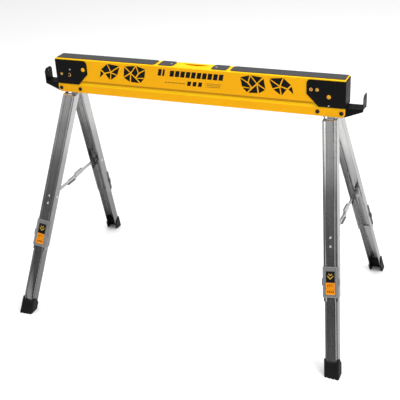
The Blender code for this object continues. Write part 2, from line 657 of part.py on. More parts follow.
def build_leg(name, swing, first):
    """One telescopic leg with its latch sleeve, foot, clevis and half of the spreader."""
    y = -PIN_Y if first else PIN_Y
    turn = 0 if first else math.pi
    foot = MESHES["first_foot"] if first else MESHES["second_foot"]
    add_part(f"{name}_leg_pin", MESHES["leg_pin"], BRIGHT, swing, (LEG_OFFSET, y, -PIN_DROP))
    axis = add_empty(f"{name}_leg_axis", swing, (LEG_OFFSET, y, -PIN_DROP), (-SPREAD, 0, turn))
    add_part(f"{name}_upper_leg", MESHES["upper_leg"], STEEL, axis)
    add_part(f"{name}_lower_leg", MESHES["lower_leg"], STEEL, axis)
    add_part(f"{name}_latch_sleeve", MESHES["sleeve"], SLEEVE, axis)
    add_part(f"{name}_foot", foot, RUBBER, axis)
    add_part(f"{name}_brace_clevis", MESHES["clevis"], STEEL, axis)
    pivot = add_empty(f"{name}_brace_axis", axis, (0, -BRACE_OUT, -BRACE_DROP), (SPREAD, 0, 0))
    add_part(f"{name}_brace_pin", MESHES["brace_pin"], BRIGHT, pivot)
    add_part(f"{name}_brace_link", MESHES["link"], STEEL, pivot)
    if first:
        end_name = name.split("_")[0]
        add_part(f"{end_name}_brace_rivet", MESHES["middle_rivet"], BRIGHT, pivot, (0, BRACE_LENGTH, 0))


def build_end(name, turn, first_leg, second_leg):
    """Everything at one end of the sawhorse."""
    end = add_empty(f"{name}_end", None, (0, 0, 0), (0, 0, turn))
    add_part(f"{name}_grip_strip", MESHES["strip"], GRIP, end)
    add_part(f"{name}_handle_pad", MESHES["pad"], GRIP, end)
    add_part(f"{name}_end_cap", MESHES["cap"], BLACK, end)
    for place, x in (("outer", OUTER_BOLT_X), ("hinge", INNER_BOLT_X)):
        axis = add_empty(f"{name}_{place}_bolt_axis", end, (x, 0, BOLT_Z), (0, 0, -turn))
        add_part(f"{name}_{place}_bolt", MESHES["bolt"], BLACK, axis)
        add_part(f"{name}_{place}_nut", MESHES["nut"], BLACK, axis)
    add_part(f"{name}_support_arm", MESHES["arm"], BLACK, end)
    swing = add_empty(f"{name}_swing_axis", end, (INNER_BOLT_X, 0, BOLT_Z), (0, -TILT, 0))
    add_part(f"{name}_leg_bracket", MESHES["bracket"], STEEL, swing)
    build_leg(f"{name}_{first_leg}", swing, True)
    build_leg(f"{name}_{second_leg}", swing, False)


add_part("top_beam", make_beam(), YELLOW)
add_part("handle_insert", make_handle_insert(), YELLOW)
build_end("right", 0, "front", "rear")
build_end("left", math.pi, "rear", "front")
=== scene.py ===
"""Looks of the folding sawhorse: materials, fasteners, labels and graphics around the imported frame.

Metres, +Z up, +X along the beam, -Y to the front, origin on the floor under the beam's middle.
"""
import json
import math

import bmesh
import bpy
from mathutils import Matrix, Vector


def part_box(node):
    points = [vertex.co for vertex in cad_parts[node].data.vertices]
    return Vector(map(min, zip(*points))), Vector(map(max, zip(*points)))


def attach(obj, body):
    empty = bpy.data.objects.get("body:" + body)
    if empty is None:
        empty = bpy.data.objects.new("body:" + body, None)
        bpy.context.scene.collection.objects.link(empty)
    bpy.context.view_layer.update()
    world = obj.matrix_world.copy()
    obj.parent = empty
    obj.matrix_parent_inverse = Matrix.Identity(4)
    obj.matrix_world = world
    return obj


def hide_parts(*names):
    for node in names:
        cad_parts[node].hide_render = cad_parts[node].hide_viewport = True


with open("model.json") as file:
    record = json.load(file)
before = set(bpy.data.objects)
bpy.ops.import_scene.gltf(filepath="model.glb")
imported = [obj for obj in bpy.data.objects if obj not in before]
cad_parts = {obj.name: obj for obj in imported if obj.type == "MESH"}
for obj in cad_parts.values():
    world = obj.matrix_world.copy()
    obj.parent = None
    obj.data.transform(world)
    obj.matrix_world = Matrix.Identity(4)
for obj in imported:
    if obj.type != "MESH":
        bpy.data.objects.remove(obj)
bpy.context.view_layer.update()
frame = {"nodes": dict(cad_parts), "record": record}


def frame_mount(name):
    """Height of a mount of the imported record."""
    return next(mount["pos_m"][2] for mount in frame["record"]["mounts"] if mount["name"] == name)


# Camera, as the turn of its view round the object and its place
CAMERA_AZIMUTH = math.radians(24.07)
CAMERA_ELEVATION = math.radians(26.87)
CAMERA_ROLL = math.radians(-3.33)
CAMERA_PLACE = (1.035, -2.33, 1.657)
LENS = 74.3
SENSOR = 36.0

ENDS = {"left": -1, "right": 1}
SIDES = ("front", "rear")
NODES = frame["nodes"]
JOINTS = {joint["name"]: joint for joint in frame["record"]["behaviour"]["joints"]}
HAIR = 0.00005             # clearance between a thin print and the surface under it
PRINT = 0.00012            # thickness of printed or stuck-on film

BEAM_END, BEAM_FACE, BEAM_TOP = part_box("top_beam")[1]
STRIP_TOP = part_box("right_grip_strip")[1][2]
CAP_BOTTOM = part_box("right_end_cap")[0][2]
CAP_END, CAP_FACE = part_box("right_end_cap")[1][:2]
ARM_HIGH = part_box("right_support_arm")[1]
TO_FRONT = Matrix.Rotation(math.pi / 2, 4, "X")       # turns local +Z to face -Y
TO_RIGHT = Matrix.Rotation(math.pi / 2, 4, "Y")       # turns local +Z to face +X
HALF_TURN = Matrix.Rotation(math.pi, 4, "Z")
FACES = {"front": Matrix.Identity(4), "back": HALF_TURN}

PAD_SCREW_X = 0.078
END_RIVET_RISE = 0.0085    # above the lower edge of the cap
LEDGE_TOP = frame_mount("right_timber_ledge")
LIP_HOLE_DROP = 0.011      # below the top of the lip
BOLT_HEAD_HEIGHT = 0.0036
BOLT_WASHER_GAP = 0.0003
BOLT_SHANK = 0.003
BOLT_SOCKET = 0.0026
THREAD_LENGTH = 0.010
WEB_RECESS = 0.0014
WEB_RIVET_STEPS = (0.0007, -0.0263)    # along the leg from the brace pivot
STOP_PIN_Z = -0.5675
STOP_PIN_RADIUS = 0.0026
STOP_PIN_GAP = 0.0006
LEG_HALF = 0.0225          # half the leg's width
LEG_REACH = 0.80           # from the pivot to the foot
CAP_RIVETS = ((0.012, 0.010), (0.108, 0.012), (0.012, 0.080))

# The label on a latch sleeve, from its middle
LABEL_HALF, LABEL_TOP, LABEL_SPLIT, LABEL_BOTTOM = 0.0138, 0.0335, -0.0015, -0.0385
RIM_WIDTH, RIM_SIDE, RIM_MARGIN = 0.0016, 0.0215, 0.0008
FOOT_RIB_DROP, FOOT_RIB_PITCH, FOOT_RIB_WIDTH, FOOT_RIB_MARGIN = 0.020, 0.0030, 0.0012, 0.0075

# Prints on the beam's sides, in millimetres: across from a panel's left edge, up from its middle
PANEL_LENGTH = 178.0
PANEL_DROP = 0.0355        # middle of the facet panels below the beam's top
PANEL_STARTS = {"left": -0.336, "right": 0.164}
SHARD_GAP = 0.4
SHARDS = [
    [(2, -22), (20, -6), (8, 4)], [(22, -4), (44, 2), (34, 28), (10, 8)], [(47, 3), (80, 24), (36, 29)],
    [(48, 0), (70, -8), (81, 21)], [(24, -7), (40, -28), (45, -1)], [(47, -3), (44, -27), (68, -10)],
    [(92, -12), (118, 4), (98, 22)], [(101, 25), (120, 5), (140, 29)], [(143, 29), (150, 6), (176, 20)],
    [(122, 3), (136, -10), (148, 5), (141, 26)], [(93, -15), (114, -28), (118, 0)],
    [(121, -1), (118, -28), (150, -29), (134, -12)], [(151, 3), (139, -12), (170, -10), (175, 17)],
    [(141, -14), (154, -28), (168, -13)],
]


# ---------------------------------------------------------------- materials

SCUFF_SHARE = 0.24


def link(tree, source, target):
    tree.links.new(source, target)


def add_node(tree, kind, **values):
    node = tree.nodes.new(kind)
    for key, value in values.items():
        if key in node.inputs:
            node.inputs[key].default_value = value
        else:
            setattr(node, key, value)
    return node


def noise(tree, coords, scale, detail=4.0, roughness=0.55):
    node = add_node(tree, "ShaderNodeTexNoise", Scale=scale, Detail=detail, Roughness=roughness)
    link(tree, coords, node.inputs["Vector"])
    return node.outputs["Fac"]


def ramp(tree, factor, *stops):
    """A colour ramp from (position, colour) pairs; a single number is a grey."""
    node = tree.nodes.new("ShaderNodeValToRGB")
    while len(node.color_ramp.elements) < len(stops):
        node.color_ramp.elements.new(0.5)
    for element, (position, colour) in zip(node.color_ramp.elements, stops):
        element.position = position
        if isinstance(colour, (int, float)):
            colour = (colour, colour, colour)
        element.color = (*colour, 1.0)
    link(tree, factor, node.inputs["Fac"])
    return node.outputs["Color"]


def mix(tree, factor, first, second, blend="MIX"):
    node = tree.nodes.new("ShaderNodeMix")
    node.data_type = "RGBA"
    node.blend_type = blend
    if isinstance(factor, float):
        node.inputs[0].default_value = factor
    else:
        link(tree, factor, node.inputs[0])
    for socket, value in ((node.inputs[6], first), (node.inputs[7], second)):
        if isinstance(value, tuple):
            socket.default_value = (*value, 1.0)
        else:
            link(tree, value, socket)
    return node.outputs[2]


def bump(tree, height, strength, distance, below=None):
    node = add_node(tree, "ShaderNodeBump", Strength=strength, Distance=distance)
    link(tree, height, node.inputs["Height"])
    if below is not None:
        link(tree, below, node.inputs["Normal"])
    return node.outputs["Normal"]


def start_material(name, metallic=0.0, specular=0.5, stretch=(1, 1, 1)):
    """A material with its shader, its coordinate and one that is stretched along the piece."""
    material = bpy.data.materials.new(name)
    material.use_nodes = True
    tree = material.node_tree
    shader = tree.nodes["Principled BSDF"]
    shader.inputs["Metallic"].default_value = metallic
    shader.inputs["Specular IOR Level"].default_value = specular
    coords = tree.nodes.new("ShaderNodeTexCoord").outputs["Object"]
    mapping = tree.nodes.new("ShaderNodeMapping")
    mapping.inputs["Scale"].default_value = stretch
    link(tree, coords, mapping.inputs["Vector"])
    return material, tree, shader, coords, mapping.outputs["Vector"]


def measure(tree, source, *steps):
    """Runs a value through math operations, each given as (operation, second value)."""
    for operation, value in steps:
        node = tree.nodes.new("ShaderNodeMath")
        node.operation = operation
        link(tree, source, node.inputs[0])
        node.inputs[1].default_value = value
        source = node.outputs[0]
    return source


def powder_coat(name, base, deep, rough, grain=900.0, depth=0.00008, specular=0.5, painted_slope_light=False):
    """Powder coat: orange-peel grain, faint colour drift, scuffs, and, when asked, painted shade on faces
    that point down and a painted highlight on faces that point up, as on the slopes of the beam's grooves.
    """
    material, tree, shader, coords, _ = start_material(name, 0.0, specular)
    drift = noise(tree, coords, 7.0, 3.0)
    colour = mix(tree, ramp(tree, drift, (0.35, 0.0), (0.7, 1.0)), base, deep)
    scuff = noise(tree, coords, 60.0, 6.0, 0.7)
    scuffs = ramp(tree, scuff, (0.72, 0.0), (0.80, SCUFF_SHARE))
    colour = mix(tree, scuffs, colour, tuple(0.6 * c + 0.1 for c in base))
    # painted shade and painted highlight: faces pointing down are multiplied darker, and faces pointing up
    # are mixed towards a brighter yellow, standing in for light from above
    if painted_slope_light:
        normal = tree.nodes.new("ShaderNodeTexCoord").outputs["Normal"]
        slope = tree.nodes.new("ShaderNodeSeparateXYZ")
        link(tree, normal, slope.inputs[0])
        facing = measure(tree, slope.outputs["Z"], ("MULTIPLY", 0.5), ("ADD", 0.5))
        shade = ramp(tree, facing, (0.28, 0.55), (0.46, 0.95), (0.50, 0.97), (0.54, 1.0))
        colour = mix(tree, 1.0, colour, shade, "MULTIPLY")
        lit = ramp(tree, facing, (0.53, 0.0), (0.62, 0.75), (0.85, 0.3))
        colour = mix(tree, lit, colour, PAINTED_HIGHLIGHT_YELLOW)
    link(tree, colour, shader.inputs["Base Color"])
    wear = noise(tree, coords, 25.0, 5.0, 0.6)
    link(tree, ramp(tree, wear, (0.3, rough - 0.06), (0.7, rough + 0.08)), shader.inputs["Roughness"])
    peel = noise(tree, coords, grain, 2.0, 0.4)
    broad = noise(tree, coords, grain * 0.2, 2.0, 0.4)
    link(tree, bump(tree, peel, 0.35, depth, bump(tree, broad, 0.2, depth * 3)), shader.inputs["Normal"])
    return material


def galvanised(name, into_leg, light, dark, rough=0.22, metallic=0.94):
    """Galvanised rolled steel: faint spangle, drawn streaks, painted highlights and shade in bands across
    the profile, and painted shade darkening the lower end.
    """
    material, tree, shader, coords, _ = start_material(name, metallic, 0.5)
    local = tree.nodes.new("ShaderNodeMapping")
    local.inputs["Location"].default_value = into_leg.translation
    local.inputs["Rotation"].default_value = into_leg.to_euler()
    link(tree, coords, local.inputs["Vector"])
    drawn = add_node(tree, "ShaderNodeMapping", Scale=(1, 1, 0.02))
    link(tree, local.outputs["Vector"], drawn.inputs["Vector"])
    parts = tree.nodes.new("ShaderNodeSeparateXYZ")
    link(tree, local.outputs["Vector"], parts.inputs[0])
    spangle = add_node(tree, "ShaderNodeTexVoronoi", Scale=170.0)
    link(tree, coords, spangle.inputs["Vector"])
    crystals = ramp(tree, spangle.outputs["Color"], (0.0, 0.0), (1.0, 1.0))
    streaks = noise(tree, drawn.outputs["Vector"], 420.0, 3.0, 0.6)
    patches = noise(tree, coords, 9.0, 3.0)
    tone = mix(tree, 0.5, ramp(tree, streaks, (0.3, 0.0), (0.7, 1.0)),
               ramp(tree, patches, (0.3, 0.0), (0.7, 1.0)))
    tone = mix(tree, 0.07, tone, crystals)
    colour = mix(tree, tone, dark, light)
    across = measure(tree, parts.outputs["X"], ("ABSOLUTE", 0.0), ("DIVIDE", LEG_HALF))
    # painted highlights and painted shade across the leg's profile: bright bands where the bends would catch
    # light, dark bands beside them
    wear_and_profile_light = ramp(tree, across, (0.0, 0.72), (0.46, 0.68), (0.54, 0.42), (0.60, 1.0), (0.84, 1.0),
                (0.90, 0.40), (0.97, 0.45), (1.0, 0.50))
    # painted shade: the colour darkens towards the foot of the leg
    down = measure(tree, parts.outputs["Z"], ("DIVIDE", -LEG_REACH))
    painted_lower_shade = ramp(tree, down, (0.02, 1.0), (0.20, 0.95), (0.31, 0.62), (0.50, 0.50), (1.0, 0.34))
    colour = mix(tree, 1.0, mix(tree, 1.0, colour, wear_and_profile_light, "MULTIPLY"), painted_lower_shade, "MULTIPLY")
    link(tree, colour, shader.inputs["Base Color"])
    rub = mix(tree, 0.5, ramp(tree, streaks, (0.3, rough - 0.04), (0.7, rough + 0.06)),
              ramp(tree, patches, (0.3, rough - 0.04), (0.7, rough + 0.08)))
    link(tree, rub, shader.inputs["Roughness"])
    lines = bump(tree, streaks, 0.08, 0.00004)
    link(tree, bump(tree, crystals, 0.015, 0.00003, lines), shader.inputs["Normal"])
    return material


def plated(name, base, rough):
    """Zinc plated fasteners: fine brushing and darker, rougher spots."""
    material, tree, shader, coords, along = start_material(name, 1.0, 0.5, (1, 1, 0.15))
    brushed = noise(tree, along, 900.0, 3.0)
    spots = noise(tree, coords, 160.0, 5.0, 0.7)
    colour = mix(tree, ramp(tree, spots, (0.45, 0.0), (0.75, 1.0)), base, tuple(c * 0.55 for c in base))
    link(tree, colour, shader.inputs["Base Color"])
    link(tree, ramp(tree, spots, (0.3, rough), (0.7, rough + 0.2)), shader.inputs["Roughness"])
    link(tree, bump(tree, brushed, 0.2, 0.00004), shader.inputs["Normal"])
    return material


def moulded(name, base, rough, grain, depth, dust=0.12):
    """Moulded plastic or rubber: fine spark grain, flow marks and pale dust in the pores."""
    material, tree, shader, coords, _ = start_material(name, 0.0, 0.15)
    spark = noise(tree, coords, grain, 3.0, 0.6)
    flow = noise(tree, coords, 18.0, 3.0)
    dusty = noise(tree, coords, 75.0, 6.0, 0.7)
    pale = tuple(c * 1.5 + 0.02 for c in base)
    colour = mix(tree, ramp(tree, flow, (0.3, 0.0), (0.75, 1.0)), base, tuple(c * 0.75 for c in base))
    colour = mix(tree, ramp(tree, dusty, (0.5, 0.0), (0.85, dust * 4)), colour, pale)
    link(tree, colour, shader.inputs["Base Color"])
    link(tree, ramp(tree, flow, (0.3, rough - 0.05), (0.7, rough + 0.1)), shader.inputs["Roughness"])
    link(tree, bump(tree, spark, 0.5, depth), shader.inputs["Normal"])
    return material


def grip_sheet(name, base):
    """Grip strip: a raised diamond grain with rubbed, paler tops."""
    material, tree, shader, coords, _ = start_material(name)
    grid = add_node(tree, "ShaderNodeMapping", Rotation=(0, 0, math.radians(45)))
    link(tree, coords, grid.inputs["Vector"])
    diamonds = add_node(tree, "ShaderNodeTexVoronoi", Scale=330.0, Randomness=0.12)
    link(tree, grid.outputs["Vector"], diamonds.inputs["Vector"])
    grain = noise(tree, coords, 1500.0, 3.0)
    rubbed = noise(tree, coords, 14.0, 5.0, 0.65)
    tops = ramp(tree, diamonds.outputs["Distance"], (0.15, 1.0), (0.5, 0.0))
    wear_and_profile_light = ramp(tree, rubbed, (0.35, 0.0), (0.75, 0.55))
    colour = mix(tree, wear_and_profile_light, base, tuple(c * 1.8 + 0.01 for c in base))
    link(tree, mix(tree, tops, tuple(c * 0.6 for c in base), colour), shader.inputs["Base Color"])
    link(tree, ramp(tree, rubbed, (0.3, 0.62), (0.7, 0.5)), shader.inputs["Roughness"])
    height = mix(tree, 0.25, tops, ramp(tree, grain, (0.3, 0.0), (0.7, 1.0)))
    link(tree, bump(tree, height, 0.6, 0.0003), shader.inputs["Normal"])
    return material


def printed(name, base, rough=0.42):
    """Printed film: ink mottle with faded patches and a slight grain."""
    material, tree, shader, coords, _ = start_material(name, 0.0, 0.12)
    mottle = noise(tree, coords, 220.0, 5.0, 0.65)
    faded = ramp(tree, mottle, (0.4, 0.0), (0.8, 0.5))
    colour = mix(tree, faded, base, tuple(c * 0.85 + 0.003 for c in base))
    link(tree, colour, shader.inputs["Base Color"])
    link(tree, ramp(tree, mottle, (0.3, rough - 0.05), (0.7, rough + 0.1)), shader.inputs["Roughness"])
    link(tree, bump(tree, mottle, 0.15, 0.00003), shader.inputs["Normal"])
    return material


def leg_matrix(leg):
    """The frame of a leg at rest: X across the web, Y inwards, Z up along the leg, from its pivot."""
    spread = JOINTS[f"{leg}_leg_spread"]
    across = Vector(spread["axis"]).normalized()
    up = Vector(JOINTS[f"{leg}_leg_extension"]["axis"]).normalized()
    inwards = up.cross(across)
    turn = Matrix((across, inwards, up)).transposed().to_4x4()
    return Matrix.Translation(spread["pos_m"]) @ turn


# painted highlight colour, mixed into the yellow coat where faces point up
PAINTED_HIGHLIGHT_YELLOW = (1.0, 0.70, 0.01)
YELLOW = (1.0, 0.475, 0.001)
YELLOW_DEEP = (0.97, 0.44, 0.001)
BLACK = (0.004, 0.004, 0.0045)
BLACK_DEEP = (0.003, 0.003, 0.003)
INK = (0.003, 0.003, 0.003)

yellow = powder_coat("yellow_powder_coat", YELLOW, YELLOW_DEEP, 0.38, specular=0.1, painted_slope_light=True)
black = powder_coat("black_powder_coat", BLACK, BLACK_DEEP, 0.46, 1300.0, 0.00012, specular=0.09)
zinc = plated("zinc_fastener", (0.62, 0.62, 0.63), 0.24)
dark_bolt = plated("black_oxide_bolt", (0.035, 0.033, 0.033), 0.34)
brass_ring = plated("yellow_zinc_ring", (0.75, 0.42, 0.10), 0.30)
sleeve_rim = moulded("pale_sleeve_rim", (0.34, 0.34, 0.345), 0.38, 700.0, 0.0001)
sleeve_grey = moulded("grey_sleeve", (0.20, 0.20, 0.205), 0.42, 700.0, 0.0001)
rubber = moulded("black_rubber", (0.006, 0.006, 0.0065), 0.6, 520.0, 0.00025, 0.02)
grip = grip_sheet("black_grip", (0.030, 0.031, 0.034))
ink = printed("black_print", INK)
pale_ink = printed("brown_print", (0.36, 0.18, 0.01))
label_black = printed("label_black", (0.006, 0.006, 0.006), 0.35)
label_gold = printed("label_gold", (0.95, 0.60, 0.08), 0.38)
label_orange = printed("label_orange", (0.92, 0.32, 0.005), 0.38)
label_brown = printed("label_brown", (0.30, 0.055, 0.003), 0.40)
red_plug = printed("red_plug", (0.45, 0.05, 0.02), 0.45)
amber = printed("amber_plug", (0.85, 0.38, 0.02), 0.45)
bright_rivet = plated("bright_rivet", (0.85, 0.85, 0.86), 0.18)
steel = {}
for leg_name in [f"{end}_{side}" for end in ENDS for side in SIDES]:
    into_leg = leg_matrix(leg_name).inverted()
    steel[leg_name] = galvanised(f"galvanised_{leg_name}", into_leg, (0.98, 0.98, 0.97), (0.78, 0.78, 0.775))


# ---------------------------------------------------------------- making pieces

def add_bevel(obj, width, segments=2, angle=30):
    modifier = obj.modifiers.new("soft_edges", "BEVEL")
    modifier.width = width
    modifier.segments = segments
    modifier.limit_method = "ANGLE"
    modifier.angle_limit = math.radians(angle)
    modifier.harden_normals = True
    return modifier


def finish_piece(name, bm, place, material, body, bevel=0.0):
    """Turns a bmesh into a piece that rides on a CAD body."""
    bmesh.ops.recalc_face_normals(bm, faces=bm.faces)
    mesh = bpy.data.meshes.new(name)
    bm.to_mesh(mesh)
    bm.free()
    mesh.transform(place)
    mesh.materials.append(material)
    mesh.shade_smooth()
    mesh.set_sharp_from_angle(angle=math.radians(35))
    obj = bpy.data.objects.new(name, mesh)
    bpy.context.scene.collection.objects.link(obj)
    if bevel:
        add_bevel(obj, bevel)
    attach(obj, body)
    return obj


def turned(profile, segments=24):
    """A solid turned about Z from a profile of (radius, height) points, first and last on the axis."""
    bm = bmesh.new()
    rings = []
    for radius, height in profile:
        if radius == 0:
            rings.append([bm.verts.new((0, 0, height))])
            continue
        turns = [2 * math.pi * i / segments for i in range(segments)]
        rings.append([bm.verts.new((radius * math.cos(a), radius * math.sin(a), height)) for a in turns])
    for low, high in zip(rings, rings[1:]):
        for i in range(segments):
            j = (i + 1) % segments
            corners = [low[i % len(low)], low[j % len(low)], high[j % len(high)], high[i % len(high)]]
            bm.faces.new(list(dict.fromkeys(corners)))
    return bm


def slab(loops, thickness):
    """Flat outlines extruded from Z = 0, as one mesh."""
    bm = bmesh.new()
    for loop in loops:
        face = bm.faces.new([bm.verts.new((u, v, 0)) for u, v in loop])
        extruded = bmesh.ops.extrude_face_region(bm, geom=[face])["geom"]
        raised = [item for item in extruded if isinstance(item, bmesh.types.BMVert)]
        bmesh.ops.translate(bm, verts=raised, vec=(0, 0, thickness))
    return bm


def dome(radius, height, steps=5):
    """Profile of a rivet or button head standing on Z = 0."""
    rise = [(radius * math.cos(a), height * (0.25 + 0.75 * math.sin(a)))
            for a in (math.pi / 2 * i / steps for i in range(steps))]
    return [(0, 0), (radius * 0.98, 0), *rise, (0, height)]


def ring(inner, outer, height):
    """Profile of an eyelet standing on Z = 0, closed at the bottom by a dished disc."""
    crown = [(inner + (outer - inner) * t, height * math.sin(math.pi * (0.15 + 0.7 * t)))
             for t in (1, 0.75, 0.5, 0.25, 0)]
    return [(0, 0), (outer, 0), *crown, (inner, height * 0.15), (0, height * 0.1)]


def square_socket(bm, radius, above):
    """Turns the rings of a round socket into hexagons."""
    for vert in bm.verts:
        reach = math.hypot(vert.co.x, vert.co.y)
        if 0 < reach <= radius * 1.01 and vert.co.z > above:
            angle = math.atan2(vert.co.y, vert.co.x) % (math.pi / 3) - math.pi / 6
            factor = math.cos(math.pi / 6) / math.cos(angle) * 1.08
            vert.co.x *= factor
            vert.co.y *= factor


def socket_head(radius, height, socket_radius, segments=24):
    """A button head with a hexagon socket, standing on Z = 0."""
    head = [(0, 0), (radius * 0.97, 0), (radius, height * 0.25), (radius * 0.93, height * 0.65),
            (radius * 0.72, height * 0.93), (socket_radius * 1.15, height), (socket_radius, height * 0.94),
            (socket_radius * 0.92, height * 0.3), (0, height * 0.22)]
    bm = turned(head, segments)
    square_socket(bm, socket_radius, height * 0.1)
    return bm


# ---------------------------------------------------------------- carried-over CAD nodes

def dress(node, material, bevel, segments=2, angle=30):
    """Gives a CAD node its finish and softened edges."""
    obj = NODES[node]
    obj.data.materials.clear()
    obj.data.materials.append(material)
    for polygon in obj.data.polygons:
        polygon.material_index = 0
    weld = obj.modifiers.new("weld", "WELD")
    weld.merge_threshold = 0.00001
    add_bevel(obj, bevel, segments, angle)
    return obj


def dress_frame():
    dress("top_beam", yellow, 0.0006, 3, 20)
    dress("handle_insert", yellow, 0.0005)
    for end in ENDS:
        dress(f"{end}_grip_strip", grip, 0.0005)
        dress(f"{end}_handle_pad", grip, 0.0005)
        dress(f"{end}_end_cap", black, 0.0004)
        dress(f"{end}_support_arm", black, 0.0006, 3)
        dress(f"{end}_leg_bracket", steel[f"{end}_front"], 0.0004)
        dress(f"{end}_brace_rivet", zinc, 0.0003)
        for nut in ("outer", "hinge"):
            dress(f"{end}_{nut}_nut", dark_bolt, 0.0004)
        for side in SIDES:
            leg = f"{end}_{side}"
            dress(f"{leg}_upper_leg", steel[leg], 0.0004)
            dress(f"{leg}_lower_leg", steel[leg], 0.0004)
            dress(f"{leg}_brace_clevis", steel[leg], 0.0004)
            dress(f"{leg}_brace_link", steel[leg], 0.0004)
            dress(f"{leg}_latch_sleeve", sleeve_grey, 0.0005)
            dress(f"{leg}_foot", rubber, 0.0010, 3)
            dress(f"{leg}_leg_pin", zinc, 0.0003)
            dress(f"{leg}_brace_pin", zinc, 0.0003)


# ---------------------------------------------------------------- prints on the beam

def place_on_side(face, surface, x=0.0, z=0.0):
    """Stands a piece drawn in its XY plane on a side of the beam, x and z seen from that side."""
    return FACES[face] @ Matrix.Translation((x, -surface - HAIR, z)) @ TO_FRONT


def shrink(loop, gap):
    """Draws each corner of a shard towards its middle, so that a thin line stays between neighbours."""
    points = [Vector(point) for point in loop]
    middle = sum(points, Vector((0, 0))) / len(points)
    return [point + (middle - point).normalized() * 2 * gap for point in points]


def slanted_bar(x, z, width, height, lean=0.25):
    """A leaning bar with its lower left corner at x, z."""
    shift = height * lean
    return [(x, z), (x + width, z), (x + width + shift, z + height), (x + shift, z + height)]


def decorate_beam(face):
    turn = {"front": "", "back": "back_"}[face]
    for panel, start in PANEL_STARTS.items():
        loops = []
        for shard in SHARDS:
            points = shrink(shard, SHARD_GAP)
            if panel == "right":
                points = [(PANEL_LENGTH - u, v) for u, v in reversed(points)]
            loops.append([(u / 1000, v / 1000) for u, v in points])
        place = place_on_side(face, BEAM_FACE, start, BEAM_TOP - PANEL_DROP)
        shards = slab(loops, PRINT)
        finish_piece(f"{turn}{panel}_shard_print", shards, place, ink, "beam")
    place = place_on_side(face, BEAM_FACE, 0.0, BEAM_TOP)
    title = [slanted_bar(-0.118, -0.0325, 0.012, 0.022), slanted_bar(-0.102, -0.0325, 0.007, 0.022)]
    title += [slanted_bar(-0.076 + 0.0188 * i, -0.0325, 0.0145, 0.020) for i in range(10)]
    title += [slanted_bar(-0.016 + 0.0190 * i, -0.0590, 0.0125, 0.015) for i in range(3)]
    finish_piece(f"{turn}title_bars", slab(title, PRINT), place, ink, "beam")
    fine = [slanted_bar(0.048, -0.0610, 0.0008, 0.019, 0)]
    fine += [slanted_bar(0.053, -0.0475 - 0.0052 * i, 0.050 - 0.003 * i, 0.0020, 0.2) for i in range(3)]
    fine += [slanted_bar(-0.095 + 0.0125 * i, -0.0545, 0.0105, 0.0030) for i in range(6)]
    finish_piece(f"{turn}fine_print_lines", slab(fine, PRINT), place, pale_ink, "beam")


# ---------------------------------------------------------------- caps, bolts and arms

def add_turned(name, profile, place, material, body, segments=24):
    return finish_piece(name, turned(profile, segments), place, material, body)


def annulus(inner, outer, start, end, steps=20):
    """Outline of part of a flat ring, between two angles in degrees."""
    turns = [math.radians(start + (end - start) * i / steps) for i in range(steps + 1)]
    rim = [(outer * math.cos(a), outer * math.sin(a)) for a in turns]
    return rim + [(inner * math.cos(a), inner * math.sin(a)) for a in reversed(turns)]


def decorate_cap(end, face):
    """Eyelets, plugs and rivet heads on one side of an end cap. Distances run from the end and the top."""
    outward = ENDS[end] * (1 if face == "front" else -1)

    def spot(from_end, drop):
        return place_on_side(face, CAP_FACE, outward * (CAP_END - from_end), BEAM_TOP - drop)

    name = f"{end}_{face}"

    def add(label, profile, place, tone, segments=24):
        add_turned(f"{name}_{label}", profile, place, tone, "beam", segments)

    if outward < 0:
        add("brown_eyelet", ring(0.0022, 0.0048, 0.0012), spot(0.021, 0.054), brass_ring)
        add("small_plug", dome(0.0026, 0.0009), spot(0.055, 0.037), zinc)
        keeper = slab([annulus(0.0040, 0.0062, -150, 120)], 0.0011)
        finish_piece(f"{name}_keeper_ring", keeper, spot(0.051, 0.056), brass_ring, "beam", 0.0002)
        add("keeper_pin", dome(0.0026, 0.0010), spot(0.051, 0.056), dark_bolt)
        add("yellow_plug", dome(0.0070, 0.0012, 7), spot(0.106, 0.035), yellow)
    else:
        for label, from_end, tone in (("red", 0.107, red_plug), ("yellow", 0.088, yellow)):
            add(f"{label}_eyelet", ring(0.0026, 0.0056, 0.0013), spot(from_end, 0.035), brass_ring)
            add(f"{label}_centre", dome(0.0022, 0.0008), spot(from_end, 0.035), tone, 16)
        add("amber_plug", dome(0.0066, 0.0012, 7), spot(0.052, 0.055), amber)
        add("small_plug", dome(0.0022, 0.0009), spot(0.052, 0.083), zinc)
    for x, drop in CAP_RIVETS:
        label = f"cap_rivet_{round(x * 1000)}_{round(drop * 1000)}"
        add(label, dome(0.0019, 0.0006), spot(x, drop), black, 16)


def make_screw_heads(end):
    """Rivets low on the cap's end face, and the pad's pale screw."""
    turn = FACES["front" if end == "right" else "back"]
    for i, y in enumerate((-0.020, 0.0, 0.020)):
        place = turn @ Matrix.Translation((CAP_END + HAIR, y, CAP_BOTTOM + END_RIVET_RISE)) @ TO_RIGHT
        add_turned(f"{end}_end_rivet_{i}", dome(0.0022, 0.0009), place, dark_bolt, "beam",
                   16)
    place = turn @ Matrix.Translation((PAD_SCREW_X, 0, STRIP_TOP - 0.0001))
    screw = socket_head(0.0034, 0.0007, 0.0015, 24)
    finish_piece(f"{end}_pad_screw", screw, place, zinc, "beam")


def thread(radius, start, end, pitch=0.001, depth=0.0004):
    """Profile points of a thread that runs up from start to end."""
    points = []
    for i in range(int((end - start) / pitch)):
        low = start + i * pitch
        points += [(radius - depth, low), (radius, low + pitch / 2)]
    return points


